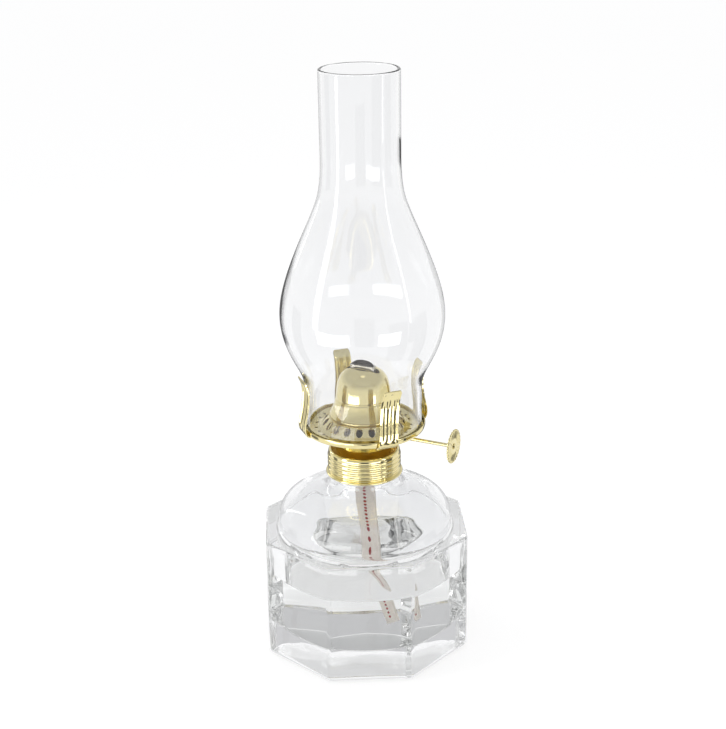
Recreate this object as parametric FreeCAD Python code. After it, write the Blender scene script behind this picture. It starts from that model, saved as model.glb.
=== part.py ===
import FreeCAD, Part

# Kerosene table lamp: octagonal glass font, brass flat-wick burner and glass chimney.
# Millimetres, +Z up, origin at the centre of the font's underside.
# Each function makes one loose piece of the lamp where it sits in the assembled lamp.

import math
import os

from FreeCAD import Vector

os.makedirs("parts", exist_ok=True)

# ---- driving dimensions ------------------------------------------------------
OVERALL_HEIGHT = 320.0

# glass font
ACROSS_FLATS = 110.0
BODY_HEIGHT = 69.5
CORNER_ROUND = 3.5
BASE_ROUND = 4.5
LEDGE_ROUND = 1.2
DOME_BASE_RADIUS = 48.0
NECK_RADIUS = 17.4
THREAD_CREST_RADIUS = 18.3
NECK_BORE_RADIUS = 14.5
NECK_TOP = 107.6
CAVITY_RADIUS = 48.5
CAVITY_FLOOR = 15.0
CAVITY_CORNER = 7.0
OIL_LEVEL = 47.0
WICK_CLEARANCE = 0.4

# screw collar
COLLAR_BOTTOM = 100.6
COLLAR_TOP = 115.0
COLLAR_RADIUS = 19.6
COLLAR_BEAD_RADIUS = 21.1
COLLAR_RIM_RADIUS = 18.4
COLLAR_WALL = 0.6
COLLAR_RIBS = 4
THREAD_PITCH = 2.5
RIB_HEIGHT = 0.45

# burner body
SHEET = 0.6
FLOOR_Z = 109.0
FLOOR_THICKNESS = 0.8
VENT_RADIUS = 1.5
VENT_WALL = 0.4
VENT_LENGTH = 14.0
VENT_OFFSET = 7.0
SEAT_Z = 128.0
GALLERY_RADIUS = 33.4
GALLERY_RIM_Z = 131.0
GALLERY_SHEET = 0.7
LIP_HEIGHT = 1.2
PLATE_OUTER_RADIUS = 28.6
PLATE_INNER_RADIUS = 17.6
PLATE_INNER_Z = 134.2
AIR_HOLE_RADIUS = 1.75
AIR_HOLE_CIRCLE = 20.6
AIR_HOLES = 20
FINE_HOLE_RADIUS = 0.8
FINE_HOLE_CIRCLE = 25.2
FINE_HOLES = 28

# chimney prongs
PRONG_COUNT = 4
FIRST_PRONG_DEG = -72.0
PRONG_WIDTH = 10.2
PRONG_TOP = 159.5
PRONG_GROOVES = 3
PRONG_GROOVE_PITCH = 2.6
PRONG_GROOVE_WIDTH = 0.8
PRONG_GROOVE_LENGTH = 13.0
PRONG_GROOVE_Z = 144.5
PRONG_GROOVE_DEPTH = 0.3
GROOVE_LEAN_DEG = 4.5
BENT_PRONG_DEG = -6.0
BENT_PRONG_OUT = 0.5

# flame dome
DOME_FOOT_Z = 136.0
DOME_RADIUS = 18.4
DOME_TOP = 161.8
DOME_RING_FOOT = 131.5
SLOT_LENGTH = 19.0
SLOT_WIDTH = 5.0

# wick and the spindle that feeds it
SPINDLE_DEG = -28.0
WICK_WIDTH = 12.0
WICK_THICKNESS = 2.2
WICK_TOP = 165.2
TUBE_WALL = 0.7
TUBE_BORE_WIDTH = 12.6
TUBE_BORE_DEPTH = 2.6
TUBE_CORNER = 1.2
TUBE_BOTTOM = 104.0
TUBE_TOP = 162.8
SHAFT_Z = 122.0
SHAFT_OFFSET = 4.8
SHAFT_RADIUS = 1.0
SHAFT_END = 51.7
RUNNING_CLEARANCE = 0.05
EYELET_RADIUS = 1.7
EYELET_FLANGE_RADIUS = 2.3
EYELET_FLANGE = (18.4, 19.2)
WHEEL_RADIUS = 3.6
WHEEL_TEETH = 12
WHEEL_THICKNESS = 1.0
WHEEL_PLACE = 3.2
KNOB_PLACE = 50.3
KNOB_RADIUS = 9.5
KNOB_SHEET = 0.8
KNOB_SCALLOPS = 24

# chimney
CHIMNEY_WALL = 2.0
FITTER_RADIUS = 31.6

UP = Vector(0, 0, 1)
ORIGIN = Vector(0, 0, 0)


# ---- shared ways of making a shape -------------------------------------------
def revolve(outline):
    """Solid of revolution about Z from a closed outline of (radius, height) points."""
    points = [Vector(r, 0, z) for r, z in outline]
    wire = Part.makePolygon(points + [points[0]])
    return Part.Face(wire).revolve(ORIGIN, UP, 360)


def revolve_edges(edges):
    """Solid of revolution about Z from edges that close on themselves in the XZ plane."""
    wire = Part.Wire(edges)
    return Part.Face(wire).revolve(ORIGIN, UP, 360)


def smooth_line(outline):
    """Smooth curve drawn by (radius, height) control points; it leaves its ends along its end legs."""
    curve = Part.BSplineCurve()
    curve.buildFromPoles([Vector(r, 0, z) for r, z in outline], False, 3)
    return curve.toShape()


def line(a, b):
    """Straight edge between two (radius, height) points."""
    return Part.LineSegment(Vector(a[0], 0, a[1]), Vector(b[0], 0, b[1])).toShape()


def sheet_strip(outline, thickness):
    """Closed outline of a bent sheet: the given side and the same line moved by its thickness.

    The thickness is laid to the left of the direction of travel.
    """
    moved = []
    last = len(outline) - 1
    for i in range(last + 1):
        before = outline[max(i - 1, 0)]
        after = outline[min(i + 1, last)]
        dr = after[0] - before[0]
        dz = after[1] - before[1]
        length = math.hypot(dr, dz)
        moved.append((outline[i][0] - dz / length * thickness, outline[i][1] + dr / length * thickness))
    return list(outline) + moved[::-1]


def box(size, centre):
    """Block with its sides along the axes, from its size and centre."""
    corner = Vector(*centre) - Vector(*size) * 0.5
    return Part.makeBox(size[0], size[1], size[2], corner)


def turned(shape, degrees):
    """Copy of a shape turned about the lamp's axis."""
    copy = shape.copy()
    copy.rotate(ORIGIN, UP, degrees)
    return copy


def to_spindle(shape):
    """Turn a shape made along +X to the direction of the spindle and the wick."""
    return turned(shape, SPINDLE_DEG)


def rod(radius, start, end, y=SHAFT_OFFSET, z=SHAFT_Z):
    """Round bar along +X between two distances from the lamp's axis."""
    return Part.makeCylinder(radius, end - start, Vector(start, y, z), Vector(1, 0, 0))


# ---- glass font ---------------------------------------------------------------
def octagon_prism(across_flats, height):
    circumradius = across_flats / 2 / math.cos(math.pi / 8)
    corners = []
    for k in range(9):
        angle = math.pi / 8 + k * math.pi / 4
        corners.append(Vector(circumradius * math.cos(angle), circumradius * math.sin(angle), 0))
    return Part.Face(Part.makePolygon(corners)).extrude(Vector(0, 0, height))


def edges_at(shape, height):
    """Edges of a shape that lie in the level plane at the given height."""
    found = []
    for edge in shape.Edges:
        low = edge.BoundBox.ZMin
        high = edge.BoundBox.ZMax
        if abs(low - height) < 0.01 and abs(high - height) < 0.01:
            found.append(edge)
    return found


def font_body():
    """Pressed octagonal body with rounded corners, base and ledge."""
    prism = octagon_prism(ACROSS_FLATS, BODY_HEIGHT)
    upright = [e for e in prism.Edges if e.BoundBox.ZLength > BODY_HEIGHT / 2]
    prism = prism.makeFillet(CORNER_ROUND, upright)
    prism = prism.makeFillet(BASE_ROUND, edges_at(prism, 0))
    return prism.makeFillet(LEDGE_ROUND, edges_at(prism, BODY_HEIGHT))


# Outer and inner outline of the shoulder, as (radius, height) points from its foot to the neck.
SHOULDER = [(DOME_BASE_RADIUS, BODY_HEIGHT), (DOME_BASE_RADIUS, 75.0), (46.6, 80.8), (42.0, 85.6),
            (34.0, 88.6), (27.4, 90.2), (22.0, 92.4), (19.3, 96.0), (19.3, 99.8)]
SHOULDER_INSIDE = [(CAVITY_RADIUS, 58.0), (CAVITY_RADIUS, 66.0), (44.8, 74.5), (41.2, 80.6), (34.0, 85.0),
                   (25.6, 87.0), (18.0, 89.6), (NECK_BORE_RADIUS, 94.0), (NECK_BORE_RADIUS, 99.0)]


def font_dome():
    """Blown shoulder and neck, solid."""
    return revolve_edges([
        line((0, 60), (DOME_BASE_RADIUS, 60)),
        line((DOME_BASE_RADIUS, 60), SHOULDER[0]),
        smooth_line(SHOULDER),
        line(SHOULDER[-1], (NECK_RADIUS, SHOULDER[-1][1])),
        line((NECK_RADIUS, SHOULDER[-1][1]), (NECK_RADIUS, NECK_TOP)),
        line((NECK_RADIUS, NECK_TOP), (0, NECK_TOP)),
        line((0, NECK_TOP), (0, 60)),
    ])


def font_cavity(top=NECK_TOP + 1):
    """Space inside the glass, from the thick floor to the mouth."""
    corner = CAVITY_CORNER
    wall_foot = (CAVITY_RADIUS, CAVITY_FLOOR + corner)
    floor_edge = (CAVITY_RADIUS - corner, CAVITY_FLOOR)
    reach = corner * math.sqrt(0.5)
    middle = Vector(CAVITY_RADIUS - corner + reach, 0, CAVITY_FLOOR + corner - reach)
    bend = Part.Arc(Vector(floor_edge[0], 0, floor_edge[1]), middle, Vector(wall_foot[0], 0, wall_foot[1]))
    return revolve_edges([
        line((0, CAVITY_FLOOR), floor_edge),
        bend.toShape(),
        line(wall_foot, SHOULDER_INSIDE[0]),
        smooth_line(SHOULDER_INSIDE),
        line(SHOULDER_INSIDE[-1], (NECK_BORE_RADIUS, top)),
        line((NECK_BORE_RADIUS, top), (0, top)),
        line((0, top), (0, CAVITY_FLOOR)),
    ])


def neck_thread():
    """Moulded thread on the neck, as two raised beads."""
    beads = None
    for k in range(2):
        z = COLLAR_BOTTOM + 1.6 + k * THREAD_PITCH
        outline = [(NECK_RADIUS - 0.5, z), (NECK_RADIUS, z), (THREAD_CREST_RADIUS, z + 0.6),
                   (THREAD_CREST_RADIUS, z + 1.1), (NECK_RADIUS, z + 1.7), (NECK_RADIUS - 0.5, z + 1.7)]
        bead = revolve(outline)
        beads = bead if beads is None else beads.fuse(bead)
    return beads


def font():
    glass = font_body().fuse(font_dome())
    glass = glass.fuse(neck_thread())
    return glass.cut(font_cavity()).removeSplitter()


def lamp_oil():
    """The fill: the cavity up to the oil line, parted round the wick."""
    fill = font_cavity().common(Part.makeCylinder(ACROSS_FLATS, OIL_LEVEL - 1, Vector(0, 0, 1)))
    width = WICK_WIDTH + 2 * WICK_CLEARANCE
    return fill.cut(wick_strip(width, WICK_THICKNESS + 2 * WICK_CLEARANCE, WICK_CLEARANCE))


# ---- wick ---------------------------------------------------------------------
# The free end below the tube: centre (x, y, z) and the heading of the strip's width in degrees.
WICK_FREE = [(0.0, 0.0, TUBE_BOTTOM, SPINDLE_DEG), (0.2, -0.4, 86.0, -31.0), (1.4, -2.2, 68.0, -38.0),
             (5.0, -6.2, 50.0, -46.0), (10.0, -11.4, 34.0, -53.0), (14.2, -15.4, 22.2, -56.0)]


def wick_section(centre, along, heading, width, thickness):
    """Rectangle across the strip, square to its run."""
    turn = math.radians(heading)
    across = Vector(math.cos(turn), math.sin(turn), 0)
    run = Vector(*along).normalize()
    across = (across - run * across.dot(run)).normalize()
    through = across.cross(run)
    middle = Vector(*centre)
    corners = []
    for w, t in ((1, 1), (-1, 1), (-1, -1), (1, -1)):
        corners.append(middle + across * (w * width / 2) + through * (t * thickness / 2))
    return Part.makePolygon(corners + [corners[0]])


def wick_strip(width, thickness, extra):
    """Flat strip: straight through the tube, then leaning and twisting down into the oil."""
    stations = [(0.0, 0.0, WICK_TOP + extra, SPINDLE_DEG)] + WICK_FREE
    last = len(stations) - 1
    sections = []
    for i, (x, y, z, heading) in enumerate(stations):
        before = stations[max(i - 1, 0)]
        after = stations[min(i + 1, last)]
        along = (before[0] - after[0], before[1] - after[1], before[2] - after[2])
        centre = (x, y, z)
        if i < 2:
            along = (0, 0, 1)
        if i == last:
            length = math.sqrt(sum(c * c for c in along))
            centre = tuple(c - a / length * extra for c, a in zip(centre, along))
        sections.append(wick_section(centre, along, heading, width, thickness))
    return Part.makeLoft(sections, True, True)


def wick():
    return wick_strip(WICK_WIDTH, WICK_THICKNESS, 0.0)


def wick_tube():
    """Flat brass tube round the wick, with two windows for the spur wheels."""
    width = TUBE_BORE_WIDTH + 2 * TUBE_WALL
    depth = TUBE_BORE_DEPTH + 2 * TUBE_WALL
    height = TUBE_TOP - TUBE_BOTTOM
    middle = (TUBE_TOP + TUBE_BOTTOM) / 2
    outer = box((width, depth, height), (0, 0, middle))
    bore = box((TUBE_BORE_WIDTH, TUBE_BORE_DEPTH, height + 2), (0, 0, middle))
    rounded = outer.makeFillet(TUBE_CORNER, [e for e in outer.Edges if e.BoundBox.ZLength > height / 2])
    tube = rounded.cut(bore)
    for side in (-1, 1):
        window = box((WHEEL_THICKNESS + 1.2, 3.0, 2 * WHEEL_RADIUS + 1.0), (side * WHEEL_PLACE, 2.5, SHAFT_Z))
        tube = tube.cut(window)
    return to_spindle(tube)


# ---- burner -------------------------------------------------------------------
def sealing_ring():
    return revolve([(NECK_BORE_RADIUS + 0.3, NECK_TOP), (COLLAR_RADIUS - COLLAR_WALL - 0.5, NECK_TOP),
                    (COLLAR_RADIUS - COLLAR_WALL - 0.5, FLOOR_Z), (NECK_BORE_RADIUS + 0.3, FLOOR_Z)])


def screw_collar():
    """Spun brass skirt: rolled bead at the foot, rolled thread ribs, turned-in rim."""
    inner = COLLAR_RADIUS - COLLAR_WALL
    outside = [(inner, COLLAR_BOTTOM), (COLLAR_BEAD_RADIUS - 0.7, COLLAR_BOTTOM),
               (COLLAR_BEAD_RADIUS, COLLAR_BOTTOM + 0.6), (COLLAR_BEAD_RADIUS - 0.2, COLLAR_BOTTOM + 1.2),
               (COLLAR_RADIUS, COLLAR_BOTTOM + 1.7)]
    for k in range(COLLAR_RIBS):
        z = COLLAR_BOTTOM + 2.3 + k * THREAD_PITCH
        outside += [(COLLAR_RADIUS, z), (COLLAR_RADIUS + RIB_HEIGHT, z + 0.6),
                    (COLLAR_RADIUS + RIB_HEIGHT, z + 1.1), (COLLAR_RADIUS, z + 1.7)]
    rim = COLLAR_RIM_RADIUS
    outside += [(COLLAR_RADIUS, COLLAR_TOP - 1.8), (COLLAR_RADIUS - 0.5, COLLAR_TOP - 0.6), (rim, COLLAR_TOP)]
    inside = [(rim - 0.5, COLLAR_TOP - 0.5), (rim - 0.1, COLLAR_TOP - 1.0), (inner, COLLAR_TOP - 2.2)]
    return revolve(outside + inside)


def burner_floor():
    """Plate that closes the collar above the glass, pierced for the wick tube and the vent."""
    radius = COLLAR_RADIUS - COLLAR_WALL - RUNNING_CLEARANCE
    plate = Part.makeCylinder(radius, FLOOR_THICKNESS, Vector(0, 0, FLOOR_Z))
    width = TUBE_BORE_WIDTH + 2 * TUBE_WALL
    depth = TUBE_BORE_DEPTH + 2 * TUBE_WALL
    slot = box((width, depth, 4), (0, 0, FLOOR_Z))
    slot = slot.makeFillet(TUBE_CORNER, [e for e in slot.Edges if e.BoundBox.ZLength > 3])
    vent = Part.makeCylinder(VENT_RADIUS, 4, Vector(0, -VENT_OFFSET, FLOOR_Z - 2))
    return plate.cut(to_spindle(slot)).cut(to_spindle(vent))


def vent_tube():
    """Short breather tube that lets air into the font beside the wick tube."""
    foot = FLOOR_Z - 3
    outer = Part.makeCylinder(VENT_RADIUS, VENT_LENGTH, Vector(0, -VENT_OFFSET, foot))
    bore = Part.makeCylinder(VENT_RADIUS - VENT_WALL, VENT_LENGTH + 2, Vector(0, -VENT_OFFSET, foot - 1))
    return to_spindle(outer.cut(bore))


def burner_bowl():
    """Flared cup from the floor plate up to the underside of the gallery."""
    foot = FLOOR_Z + FLOOR_THICKNESS
    flange = SEAT_Z - GALLERY_SHEET
    inside = [(28.0, flange), (23.6, flange), (19.6, flange - 1.6), (16.8, 121.0), (15.0, 116.0),
              (14.2, foot)]
    shell = revolve(sheet_strip(inside[::-1], -SHEET)[::-1])
    shell = shell.common(Part.makeCylinder(60, flange - foot, Vector(0, 0, foot)))
    shell = shell.cut(to_spindle(rod(EYELET_RADIUS, 15.0, 24.0)))
    return shell.cut(to_spindle(rod(EYELET_FLANGE_RADIUS, *EYELET_FLANGE)))


def shaft_eyelet():
    """Bush riveted into the bowl's side, in which the shaft turns."""
    flange = rod(EYELET_FLANGE_RADIUS, *EYELET_FLANGE)
    barrel = rod(EYELET_RADIUS, 15.6, 21.0)
    bore = rod(SHAFT_RADIUS + RUNNING_CLEARANCE, 14.0, 23.0)
    return to_spindle(barrel.fuse(flange).cut(bore).removeSplitter())


def chimney_seat_ring():
    """Rolled rim, flat seat and inner lip of the gallery."""
    under = SEAT_Z - GALLERY_SHEET
    outer = GALLERY_RADIUS
    lip = PLATE_OUTER_RADIUS
    return revolve([
        (lip - GALLERY_SHEET, under), (outer - 1.6, under), (outer - 0.5, under + 0.5), (outer, under + 1.6),
        (outer, GALLERY_RIM_Z - 0.4), (outer - 0.3, GALLERY_RIM_Z), (outer - GALLERY_SHEET, GALLERY_RIM_Z - 0.3),
        (outer - GALLERY_SHEET, SEAT_Z + 0.6), (outer - GALLERY_SHEET - 0.5, SEAT_Z), (lip, SEAT_Z),
        (lip, SEAT_Z + LIP_HEIGHT), (lip - GALLERY_SHEET, SEAT_Z + LIP_HEIGHT),
    ])


# Outer face of a prong from its root under the rim to its turned-out tip, as (radius, height) points.
PRONG_LINE = [(31.2, 127.0), (33.2, 127.2), (34.7, 128.7), (35.3, 131.5), (35.1, 134.5), (34.2, 138.5),
              (33.4, 143.0), (33.0, 150.0), (33.3, 153.5), (34.3, 157.0), (35.6, PRONG_TOP)]


def prong():
    """One sprung finger, fluted along its height, made towards +X."""
    outline = sheet_strip(PRONG_LINE, GALLERY_SHEET)
    points = [Vector(r, 0, z) for r, z in outline]
    finger = Part.Face(Part.makePolygon(points + [points[0]])).extrude(Vector(0, PRONG_WIDTH, 0))
    finger.translate(Vector(0, -PRONG_WIDTH / 2, 0))
    for k in range(PRONG_GROOVES):
        place = (k - (PRONG_GROOVES - 1) / 2) * PRONG_GROOVE_PITCH
        groove = box((1.0, PRONG_GROOVE_WIDTH, PRONG_GROOVE_LENGTH), (0, place, 0))
        groove.rotate(ORIGIN, Vector(0, 1, 0), -GROOVE_LEAN_DEG)
        groove.translate(Vector(34.1 - PRONG_GROOVE_DEPTH, 0, PRONG_GROOVE_Z))
        finger = finger.cut(groove)
    return finger


def chimney_gallery():
    """Ring that the chimney stands in, stamped in one piece with its prongs.

    The first prong has been bent a little to one side in use.
    """
    gallery = chimney_seat_ring()
    for k in range(PRONG_COUNT):
        finger = prong()
        if k == 0:
            finger.rotate(Vector(GALLERY_RADIUS, 0, SEAT_Z), Vector(1, 0, 0), BENT_PRONG_DEG)
            finger.translate(Vector(BENT_PRONG_OUT, 0, 0))
        gallery = gallery.fuse(turned(finger, FIRST_PRONG_DEG + k * 360 / PRONG_COUNT))
    return gallery.removeSplitter()


def pierce(plate, holes, circle, radius):
    """Cut a ring of round holes through a level plate."""
    for k in range(holes):
        angle = 2 * math.pi * (k + 0.5) / holes
        place = Vector(circle * math.cos(angle), circle * math.sin(angle), SEAT_Z - 4)
        plate = plate.cut(Part.makeCylinder(radius, 12, place))
    return plate


def air_plate():
    """Dished, pierced plate that spreads the draught under the flame dome."""
    rest = SEAT_Z + LIP_HEIGHT + SHEET
    top = [(PLATE_INNER_RADIUS, PLATE_INNER_Z), (18.8, 133.9), (20.6, 132.2), (22.4, 130.4), (24.6, 129.5),
           (27.2, rest), (PLATE_OUTER_RADIUS, rest)]
    dish = revolve(top + [(r, z - SHEET) for r, z in top[::-1]])
    dish = pierce(dish, AIR_HOLES, AIR_HOLE_CIRCLE, AIR_HOLE_RADIUS)
    return pierce(dish, FINE_HOLES, FINE_HOLE_CIRCLE, FINE_HOLE_RADIUS)


def dome_ring():
    """Ring fixed on the air plate that the dome is pushed over."""
    outer = PLATE_INNER_RADIUS - RUNNING_CLEARANCE
    inner = outer - SHEET
    return revolve([(inner, DOME_RING_FOOT), (outer, DOME_RING_FOOT), (outer, PLATE_INNER_Z),
                    (outer + 0.8, PLATE_INNER_Z), (outer + 0.8, DOME_FOOT_Z - 0.6),
                    (outer + 0.4, DOME_FOOT_Z), (inner - 0.8, DOME_FOOT_Z),
                    (inner - 0.8, DOME_FOOT_Z - SHEET), (inner, DOME_FOOT_Z - SHEET)])


# Control points of the dome's outer outline, as (radius, height).
DOME_LINE = [(DOME_RADIUS, DOME_FOOT_Z), (17.4, 137.6), (15.6, 141.5), (14.9, 146.0), (14.4, 150.5),
             (13.6, 155.0), (10.6, 159.6), (5.5, DOME_TOP), (0.0, DOME_TOP)]


def dome_solid(shrink):
    """The dome's outer form, made smaller all round by the given amount."""
    outline = []
    for r, z in DOME_LINE:
        slope = max(0.0, (z - 150.0) / (DOME_TOP - 150.0))
        outline.append((max(r - shrink, 0.0), z - shrink * slope))
    outline[0] = (outline[0][0], DOME_FOOT_Z)
    top = outline[-1]
    return revolve_edges([
        line((0, DOME_FOOT_Z), outline[0]),
        smooth_line(outline),
        line(top, (0, DOME_FOOT_Z)),
    ])


def flame_dome():
    """Deflector with the long slot through which the flame burns."""
    shell = dome_solid(0.0).cut(dome_solid(SHEET))
    slot = box((SLOT_LENGTH, SLOT_WIDTH, 30.0), (0, 0, DOME_TOP))
    slot = slot.makeFillet(SLOT_WIDTH / 2 - 0.1, [e for e in slot.Edges if e.BoundBox.ZLength > 20])
    return shell.cut(to_spindle(slot))


# ---- wick spindle -------------------------------------------------------------
def shaft_bracket():
    """Stirrup with two ears that carry the shaft on each side of the spur wheels."""
    foot = FLOOR_Z + FLOOR_THICKNESS
    height = SHAFT_Z + 2.4 - foot
    low = 2.4
    high = 7.2
    depth = high - low
    middle = (low + high) / 2
    bracket = box((16.0, depth, SHEET), (0, middle, foot + SHEET / 2))
    for side in (-1, 1):
        ear = box((SHEET, depth, height), (side * (8.0 - SHEET / 2), middle, foot + height / 2))
        bracket = bracket.fuse(ear)
    bracket = bracket.cut(rod(SHAFT_RADIUS + RUNNING_CLEARANCE, -10.0, 10.0))
    return to_spindle(bracket.removeSplitter())


def wick_shaft():
    """Wire spindle, headed over at both ends."""
    shaft = rod(SHAFT_RADIUS, -9.4, SHAFT_END)
    inner_head = rod(SHAFT_RADIUS + 0.5, -9.4, -8.6)
    outer_head = rod(SHAFT_RADIUS + 0.6, KNOB_PLACE + KNOB_SHEET, SHAFT_END)
    return to_spindle(shaft.fuse(inner_head).fuse(outer_head).removeSplitter())


def spur_wheel(place):
    """Toothed wheel that bites the wick, pressed on the shaft."""
    points = []
    for k in range(WHEEL_TEETH):
        for part, radius in ((0.0, WHEEL_RADIUS), (0.5, WHEEL_RADIUS - 0.9)):
            angle = 2 * math.pi * (k + part) / WHEEL_TEETH
            points.append(Vector(0, radius * math.cos(angle), radius * math.sin(angle)))
    wheel = Part.Face(Part.makePolygon(points + [points[0]])).extrude(Vector(WHEEL_THICKNESS, 0, 0))
    wheel.translate(Vector(place - WHEEL_THICKNESS / 2, SHAFT_OFFSET, SHAFT_Z))
    return to_spindle(wheel.cut(rod(SHAFT_RADIUS, place - 2, place + 2)))


def wick_knob():
    """Stamped disc with a scalloped edge and a small hub."""
    points = []
    steps = KNOB_SCALLOPS * 4
    for k in range(steps):
        angle = 2 * math.pi * k / steps
        radius = KNOB_RADIUS - 0.25 + 0.25 * math.cos(angle * KNOB_SCALLOPS)
        points.append(Vector(0, radius * math.cos(angle), radius * math.sin(angle)))
    disc = Part.Face(Part.makePolygon(points + [points[0]])).extrude(Vector(KNOB_SHEET, 0, 0))
    disc.translate(Vector(KNOB_PLACE, SHAFT_OFFSET, SHAFT_Z))
    hub = rod(2.0, KNOB_PLACE - 2.2, KNOB_PLACE + 0.4)
    knob = disc.fuse(hub).cut(rod(SHAFT_RADIUS, KNOB_PLACE - 4, KNOB_PLACE + 4))
    return to_spindle(knob.removeSplitter())


# ---- chimney ------------------------------------------------------------------
# Outer outline of the bulb, as (radius, height) points from the fitter to the neck.
CHIMNEY_NECK_RADIUS = 21.0
CHIMNEY_LINE = [(FITTER_RADIUS, 150.0), (FITTER_RADIUS, 154.0), (33.2, 160.0), (36.8, 166.0), (42.4, 178.0),
                (44.4, 190.0), (43.2, 202.0), (38.6, 217.0), (32.0, 233.0), (25.2, 248.0),
                (CHIMNEY_NECK_RADIUS, 260.0), (CHIMNEY_NECK_RADIUS, 275.0)]


def chimney():
    """Blown glass chimney: straight fitter, pinch, bulb and straight neck."""
    wall = CHIMNEY_WALL
    foot = SEAT_Z
    top = OVERALL_HEIGHT
    outer = CHIMNEY_LINE
    inner = [(r - wall, z) for r, z in CHIMNEY_LINE]
    neck = (CHIMNEY_NECK_RADIUS, top - 0.8)
    neck_inside = (CHIMNEY_NECK_RADIUS - wall, top - 0.8)
    rim_middle = Vector(CHIMNEY_NECK_RADIUS - wall / 2, 0, top)
    rim = Part.Arc(Vector(neck[0], 0, neck[1]), rim_middle, Vector(neck_inside[0], 0, neck_inside[1]))
    return revolve_edges([
        line((FITTER_RADIUS, foot), outer[0]),
        smooth_line(outer),
        line(outer[-1], neck),
        rim.toShape(),
        line(neck_inside, inner[-1]),
        smooth_line(inner),
        line(inner[0], (FITTER_RADIUS - wall, foot)),
        line((FITTER_RADIUS - wall, foot), (FITTER_RADIUS, foot)),
    ])


# ---- write the parts ----------------------------------------------------------
PARTS = {
    "font": font,
    "lamp_oil": lamp_oil,
    "sealing_ring": sealing_ring,
    "screw_collar": screw_collar,
    "burner_floor": burner_floor,
    "vent_tube": vent_tube,
    "burner_bowl": burner_bowl,
    "shaft_eyelet": shaft_eyelet,
    "chimney_gallery": chimney_gallery,
    "air_plate": air_plate,
    "dome_ring": dome_ring,
    "flame_dome": flame_dome,
    "wick_tube": wick_tube,
    "wick": wick,
    "shaft_bracket": shaft_bracket,
    "wick_shaft": wick_shaft,
    "spur_wheel_inner": lambda: spur_wheel(-WHEEL_PLACE),
    "spur_wheel_outer": lambda: spur_wheel(WHEEL_PLACE),
    "wick_knob": wick_knob,
    "chimney": chimney,
}

for name, make in PARTS.items():
    shape = make()
    solids = shape.Solids
    print(name, "solids", len(solids), "valid", shape.isValid(), "volume", round(shape.Volume, 1))
    if len(solids) == 1:
        shape = solids[0]
    shape.exportStep("parts/" + name + ".step")
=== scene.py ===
import math

import bmesh
import bpy
import numpy as np
from mathutils import Matrix, Vector


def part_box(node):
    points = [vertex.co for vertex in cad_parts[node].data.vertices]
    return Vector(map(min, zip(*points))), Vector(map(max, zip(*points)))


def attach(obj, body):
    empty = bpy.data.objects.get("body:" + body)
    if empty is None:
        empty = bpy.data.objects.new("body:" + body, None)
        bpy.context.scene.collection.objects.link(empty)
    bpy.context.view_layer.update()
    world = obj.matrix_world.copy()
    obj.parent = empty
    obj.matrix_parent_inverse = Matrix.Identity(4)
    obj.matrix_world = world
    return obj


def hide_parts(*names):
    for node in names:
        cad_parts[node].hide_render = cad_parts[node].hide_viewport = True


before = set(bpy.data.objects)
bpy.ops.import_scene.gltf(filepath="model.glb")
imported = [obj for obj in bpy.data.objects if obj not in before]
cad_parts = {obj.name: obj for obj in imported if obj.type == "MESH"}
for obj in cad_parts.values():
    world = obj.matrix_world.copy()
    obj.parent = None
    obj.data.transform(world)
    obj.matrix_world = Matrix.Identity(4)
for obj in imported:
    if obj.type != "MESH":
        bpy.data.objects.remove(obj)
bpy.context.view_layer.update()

# ---- Glass font ------------------------------------------------------------------------------
# The oil reservoir is clear pressed glass: a thick-bottomed eight-sided body with rounded corners,
# a round shoulder drawn in to a short neck, and a thread moulded round the neck for the collar.
MM = 0.001
font_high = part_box("font")[1]
APOTHEM, NECK_TOP, BODY_HEIGHT = font_high.x / MM, font_high.z / MM, 69.5
CORNER_ROUND, LEAST_CORNER, BASE_ROUND, LEDGE_ROUND, LEDGE_FILLET = 3.5, 0.8, 4.5, 1.2, 1.7
NECK_RADIUS, NECK_BORE, LIP_ROUND = 17.4, 14.5, 0.8
THREAD_FEET = (102.2, 104.7)
THREAD_BEAD = [(NECK_RADIUS, 0), (18.1, 0.4), (18.3, 0.85), (18.1, 1.3), (NECK_RADIUS, 1.7)]
CAVITY_RADIUS, CAVITY_FLOOR, FLOOR_CORNER = 48.5, 15.0, 7.0
# how far the floor dips at two radii, and in the middle
FLOOR_DISH, FLOOR_DIP = ((30, 0.1), (15, 0.2)), 0.25
OIL_CREEP = 0.75
oil_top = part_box("lamp_oil")[1].z / MM
wet_rim = oil_top + OIL_CREEP
SIDE_STEPS, CORNER_STEPS = 14, 8
SHOULDER = [(48, 71.2), (48, 76), (46.6, 80.8), (42, 85.6), (34, 88.6), (27.4, 90.2), (22, 92.4),
            (19.3, 96), (19.3, 99.2)]
SHOULDER_INSIDE = [(48.5, 58), (48.5, 66), (44.8, 74.5), (41.2, 80.6), (34, 85), (25.6, 87),
                   (18, 89.6), (14.5, 94), (14.5, 99)]
NECK_LINE = [(19.0, 99.7), (18.2, 99.8), (NECK_RADIUS, 100.2), (NECK_RADIUS, 101.9)]
# ripple left by the plunger: height, waves round, pitch up the wall and shift
PLUNGER_RIPPLES = ((0.16, 4, 8, 0), (0.13, 7, -5, 1), (0.10, 0, 3.1, 0))


def smooth_line(poles, steps):
    """Points along the smooth line drawn by (radius, height) control points."""
    poles = np.array(poles, float)
    spans = len(poles) - 3
    knots = np.concatenate([[0] * 3, np.arange(spans + 1), [spans] * 3])
    points = []
    for t in np.linspace(0, spans, steps):
        k = min(int(t), spans - 1) + 3
        d = [poles[k - 3 + j].copy() for j in range(4)]
        for r in range(1, 4):
            for j in range(3, r - 1, -1):
                i = k - 3 + j
                a = (t - knots[i]) / (knots[i + 4 - r] - knots[i])
                d[j] = (1 - a) * d[j - 1] + a * d[j]
        points.append((float(d[3][0]), float(d[3][1])))
    return points


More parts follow.
